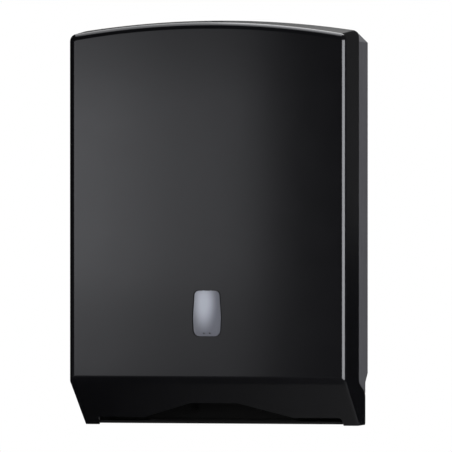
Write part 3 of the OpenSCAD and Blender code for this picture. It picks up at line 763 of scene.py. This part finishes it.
def lens_loops():
    """Outlines from the lens's middle out, down its edge and round the flange, as lists of (x, d, h)."""
    edge = window_outline(0)
    flange = window_outline(WINDOW_FLANGE)
    middle_h = WINDOW_CENTRE_H
    loops = []
    for ring in range(1, LENS_RINGS + 1):
        share = ring / LENS_RINGS
        dome_d = LENS_RIM_D + LENS_RISE * (1 - share ** 2)
        loops.append([(x * share, dome_d, middle_h + (h - middle_h) * share) for x, h in edge])
    for outline, d in ((edge, INNER_D), (flange, INNER_D), (flange, INNER_D - WINDOW_FLANGE_T)):
        loops.append([(x, d, h) for x, h in outline])
    return loops


def window_blank():
    """Domed lens that fills the hole, on a flange behind the cover."""
    bm = bmesh.new()
    rows = [[bm.verts.new(at(*point)) for point in loop] for loop in lens_loops()]
    peak = bm.verts.new(at(0, LENS_RIM_D + LENS_RISE, WINDOW_CENTRE_H))
    count = len(rows[0])
    for i in range(count):
        j = (i + 1) % count
        bm.faces.new([peak, rows[0][i], rows[0][j]])
        for inner, outer in zip(rows, rows[1:]):
            bm.faces.new([inner[i], outer[i], outer[j], inner[j]])
    bm.faces.new(rows[-1])
    bmesh.ops.recalc_face_normals(bm, faces=bm.faces)
    return from_bmesh("sight_window_lens", bm)


def add_window():
    """Sight window with its tabs, its small holes and the holes for the pegs."""
    window = window_blank()
    tab_h = WINDOW_CENTRE_H + WINDOW_H / 2 - TAB_DOWN
    vent_h = WINDOW_CENTRE_H - WINDOW_H / 2 + VENT_UP
    for sign in (1, -1):
        tab = rod_d(sign * TAB_X, (INNER_D + OVER, LENS_RIM_D), tab_h, TAB_R, PEG_STEPS)
        combine(window, tab, "UNION")
        vent = rod_d(sign * VENT_X, (PEG_END_D, FRONT_D + OVER), vent_h, VENT_R, PEG_STEPS)
        combine(window, vent, "DIFFERENCE")
        for up in (-PEG_UP, PEG_UP):
            peg_h = WINDOW_CENTRE_H + up
            bore = rod_d(sign * PEG_X, (PEG_END_D, INNER_D + OVER), peg_h, PEG_R + FIT, PEG_STEPS)
            combine(window, bore, "DIFFERENCE")
    round_edges(window, LENS_EDGE_R)
    finish_piece(smooth(settle(window)), "cover", "window_grey", "sight_window")


# The other pieces, which keep their CAD shape


def raise_top(bm):
    """Lets the housing's top run from its height at the wall to the cover's edge, a flatter arch."""
    for vert in bm.verts:
        across, depth, height = vert.co.x / MM, -vert.co.y / MM, vert.co.z / MM + ORIGIN_H
        if height > HOUSING_TOP_H:
            # Two arches part by about the square of the distance across
            rise = REAR_RISE + across ** 2 / 2 * (1 / HOUSING_ARCH_R - 1 / REAR_ARCH_R)
            vert.co.z += rise * min(1, depth / PARTING_D) * MM


def soften(node, body, slot, width):
    """A copy of a CAD node with clean faces and rounded edges."""
    bm = bmesh.new()
    bm.from_mesh(frame["nodes"][node].data)
    bmesh.ops.remove_doubles(bm, verts=bm.verts, dist=SAME_POINT * MM)
    bmesh.ops.dissolve_limit(bm, angle_limit=FLAT_ANGLE, verts=bm.verts, edges=bm.edges)
    if node == "rear_housing":
        raise_top(bm)
    piece = from_bmesh(node + "_piece", bm)
    round_edges(piece, width)
    finish_piece(smooth(settle(piece)), body, slot, node)


# Camera and lights


def place_facing(obj, place, aim):
    """Puts a camera or a lamp at a place, facing a point."""
    obj.location = place
    obj.rotation_mode = "QUATERNION"
    obj.rotation_quaternion = (Vector(aim) - Vector(place)).to_track_quat("-Z", "Y")


def add_camera():
    """Camera at the photo's angle, with a long lens."""
    flat = math.cos(CAMERA_ELEVATION)
    back = Vector((math.sin(CAMERA_AZIMUTH) * flat, -math.cos(CAMERA_AZIMUTH) * flat,
                   math.sin(CAMERA_ELEVATION)))
    right = Vector((math.cos(CAMERA_AZIMUTH), math.sin(CAMERA_AZIMUTH), 0))
    up = back.cross(right)
    data = bpy.data.cameras.new("camera")
    data.sensor_width = SENSOR
    data.lens = SENSOR * CAMERA_DISTANCE / FRAME_WIDTH
    data.clip_end = CAMERA_REACH
    camera = new_object("camera", data)
    place_facing(camera, MIDDLE + back * CAMERA_DISTANCE, MIDDLE + right * AIM_RIGHT - up * AIM_DOWN)
    bpy.context.scene.camera = camera


def softbox(name, place, aim, width, height, radiance):
    """A soft light of an even radiance."""
    data = bpy.data.lights.new(name, "AREA")
    data.shape = "RECTANGLE"
    data.size = width
    data.size_y = height
    data.energy = radiance * math.pi * width * height
    place_facing(new_object(name, data), place, aim)


def add_key():
    """Softbox in front on the left, brighter towards its middle height and its left."""
    y = KEY_Y
    for edge, radiance in KEY_STEPS.items():
        for (low, high), share in KEY_BANDS.items():
            x, z = (KEY_LEFT + edge) / 2, (low + high) / 2
            softbox("key", (x, y, z), (x, 0, z), edge - KEY_LEFT, high - low, radiance * share)
            y -= KEY_LAYER


def add_lights():
    """The key light and the other soft lights."""
    add_key()
    for name, settings in SOFTBOXES.items():
        softbox(name, **settings)


# World and floor


def mirror_share(tree, rays):
    """1 for rays that a surface mirrors or lets through, and otherwise 0."""
    return maths(tree, "MAXIMUM", rays["Is Glossy Ray"], rays["Is Transmission Ray"])


def by_ray(tree, mirror, plain, mirrored):
    """One level for rays that are mirrored or let through, and a plain one for the others."""
    kept = maths(tree, "MULTIPLY", maths(tree, "SUBTRACT", 1, mirror), plain)
    return maths(tree, "ADD", kept, maths(tree, "MULTIPLY", mirror, mirrored))


def backdrop_share(tree, heading):
    """How far a heading points at the backdrop behind the object, from 0 to 1."""
    flat = math.cos(BACKDROP_RISE)
    centre = (-math.sin(CAMERA_AZIMUTH) * flat, math.cos(CAMERA_AZIMUTH) * flat, math.sin(BACKDROP_RISE))
    return zone_share(tree, heading, centre, BACKDROP_HALF, CAMERA_AZIMUTH)


def add_world():
    """White for the camera; reflections see a white backdrop behind the object in a dark studio."""
    world = bpy.data.worlds.new("studio")
    world.use_nodes = True
    tree = world.node_tree
    rays = tree.nodes.new("ShaderNodeLightPath").outputs
    heading = tree.nodes.new("ShaderNodeTexCoord").outputs["Generated"]
    dark = graded(tree, heading, "X", DARK_ENDS, DARK_LEVELS)
    mirrored = maths(tree, "MAXIMUM", backdrop_share(tree, heading), dark)
    light = by_ray(tree, mirror_share(tree, rays), AMBIENT, mirrored)
    background = tree.nodes["Background"]
    background.inputs["Color"].default_value = (1, 1, 1, 1)
    feed(tree, background.inputs["Strength"], maths(tree, "MAXIMUM", rays["Is Camera Ray"], light))
    bpy.context.scene.world = world


def floor_material(height):
    """Pale with shadows near the object and white farther off; reflections see painted shade near it,
    painted light in front, or the backdrop.
    """
    material, tree, shader, place = start_material("floor")
    shader.inputs["Roughness"].default_value = FLOOR_ROUGHNESS
    shader.inputs["Specular IOR Level"].default_value = 0
    rays = tree.nodes.new("ShaderNodeLightPath").outputs
    mirror = mirror_share(tree, rays)
    away = vector_maths(tree, "DISTANCE", place, (0, 0, height))["Value"]
    far = map_range(tree, away, FLOOR_FADE, interpolation="SMOOTHSTEP")

    near = maths(tree, "SUBTRACT", 1, far)
    # Painted shade in reflections: dark under and round the object, lighter towards the right
    below = maths(tree, "MULTIPLY", near, graded(tree, place, "X", FLOOR_ENDS, FLOOR_PAINTED_IN_MIRROR))
    # Painted light in reflections: a paler floor in front of the object
    mirrored = maths(tree, "MAXIMUM", below, graded(tree, place, "Y", FRONT_ENDS, FRONT_PAINTED_IN_MIRROR))
    feed(tree, shader.inputs["Base Color"], by_ray(tree, mirror, FLOOR_PALE, mirrored))

    heading = vector_maths(tree, "NORMALIZE", place)["Vector"]
    backdrop = maths(tree, "MULTIPLY", mirror, backdrop_share(tree, heading))
    white = maths(tree, "MAXIMUM", rays["Is Camera Ray"], backdrop)
    glow = tree.nodes.new("ShaderNodeEmission")
    mix = tree.nodes.new("ShaderNodeMixShader")
    feed(tree, mix.inputs["Fac"], maths(tree, "MULTIPLY", white, far))
    feed(tree, mix.inputs[1], shader.outputs["BSDF"])
    feed(tree, mix.inputs[2], glow.outputs["Emission"])
    feed(tree, tree.nodes["Material Output"].inputs["Surface"], mix.outputs["Shader"])
    return material


def add_floor():
    """Square floor below the object."""
    height = cad_low.z - FLOOR_DROP
    bm = bmesh.new()
    corners = [(-1, -1), (1, -1), (1, 1), (-1, 1)]
    bm.faces.new([bm.verts.new((x * FLOOR_HALF, y * FLOOR_HALF, height)) for x, y in corners])
    floor = from_bmesh("floor", bm)
    floor.data.materials.append(floor_material(height))


# The object and its studio

add_cover()
add_window()
slots = {part["node"]: part["material_slot"] for part in frame["record"]["subparts"]}
for body, widths in SOFTENED.items():
    for node, width in widths.items():
        soften(node, body, slots[node], width)

add_camera()
add_lights()
add_world()
add_floor()
bpy.context.scene.view_settings.view_transform = "Standard"
